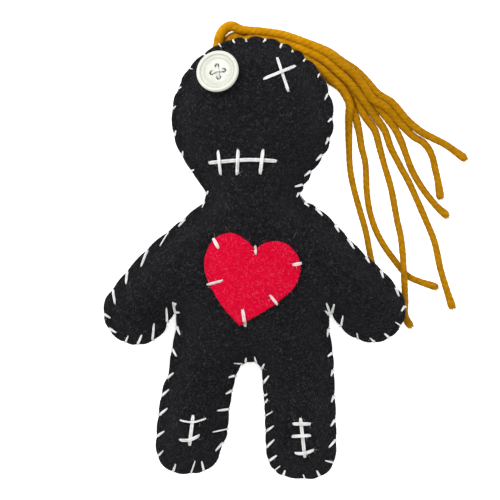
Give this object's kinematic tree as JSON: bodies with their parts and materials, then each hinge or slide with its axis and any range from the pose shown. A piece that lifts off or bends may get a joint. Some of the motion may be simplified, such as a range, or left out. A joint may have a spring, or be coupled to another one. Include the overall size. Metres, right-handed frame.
{
  "type": "voodoo doll",
  "caption": "Small hand-sewn felt voodoo doll lying on its back, with a button eye, stitched mouth, heart patch, whip-stitched edge and a tail of yarn hair",
  "frame": {"origin": "the flat face that the back rests on, under the chest", "axes": "+Y towards the head, +Z out of the face, +X to the right of someone looking down on the face"},
  "size_m": [0.1284, 0.16, 0.0255],
  "materials": {
    "black_felt": "black wool felt, fuzzy and matt",
    "red_felt": "bright red felt, matt",
    "white_thread": "off-white twisted embroidery thread",
    "ivory_plastic": "ivory moulded button, satin gloss",
    "mustard_yarn": "mustard twisted yarn, soft sheen",
    "filling": "white fibre filling, hidden inside"
  },
  "bodies": {
    "root": {"front_panel": "black_felt", "back_panel": "black_felt", "stuffing": "filling", "edge_thread": "white_thread", "heart_patch": "red_felt", "heart_thread": "white_thread", "mouth_thread": "white_thread", "cross_eye_thread": "white_thread", "left_scar_thread": "white_thread", "right_scar_thread": "white_thread", "button_eye": "ivory_plastic", "button_thread": "white_thread", "yarn_strand_1": "mustard_yarn", "yarn_strand_2": "mustard_yarn", "yarn_strand_3": "mustard_yarn", "yarn_strand_4": "mustard_yarn", "yarn_strand_5": "mustard_yarn", "yarn_strand_6": "mustard_yarn", "yarn_strand_7": "mustard_yarn"}
  },
  "joints": []
}
